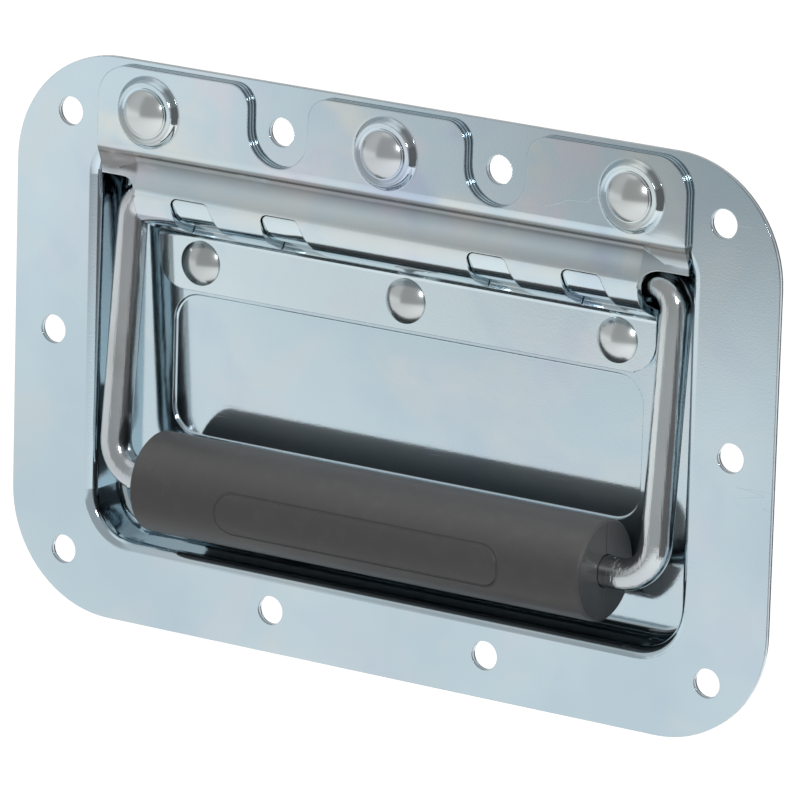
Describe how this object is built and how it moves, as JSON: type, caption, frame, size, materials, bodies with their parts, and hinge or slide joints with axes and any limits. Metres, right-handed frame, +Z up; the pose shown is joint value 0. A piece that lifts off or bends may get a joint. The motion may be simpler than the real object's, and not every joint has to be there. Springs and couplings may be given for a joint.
{
  "type": "recessed spring-loaded handle",
  "caption": "Recessed case handle: pressed dish with flange, interlocking two-leaf hinge, sprung wire bail and round moulded grip.",
  "frame": {"origin": "middle of the pattern of fixing holes, on the back face of the flange", "axes": "+X to the right seen from the front, +Y into the case, +Z up"},
  "size_m": [0.1782, 0.023, 0.116],
  "materials": {
    "zinc_sheet": "bright blue-passivated zinc plate on pressed steel",
    "zinc_wire": "zinc-plated drawn wire",
    "rivet_steel": "plated domed rivets",
    "spring_steel": "oiled spring wire",
    "grip_plastic": "matte charcoal moulding"
  },
  "bodies": {
    "plate": {"dish_plate": "zinc_sheet", "upper_hinge_leaf": "zinc_sheet", "lower_hinge_leaf": "zinc_sheet", "upper_rivet_left": "rivet_steel", "upper_rivet_middle": "rivet_steel", "upper_rivet_right": "rivet_steel", "lower_rivet_left": "rivet_steel", "lower_rivet_middle": "rivet_steel", "lower_rivet_right": "rivet_steel", "torsion_spring_left": "spring_steel", "torsion_spring_right": "spring_steel"},
    "bail": {"bail_wire": "zinc_wire", "grip": "grip_plastic"}
  },
  "joints": [
    {"name": "bail_swing", "type": "hinge", "parent": "plate", "child": "bail", "pos_m": [0, 0.00315, 0.0306], "axis": [-1, 0, 0], "range_deg": [0, 88], "stiffness_Nm_per_rad": 0.15, "springref_deg": -57.3, "deforming": ["torsion_spring_left", "torsion_spring_right"]}
  ]
}
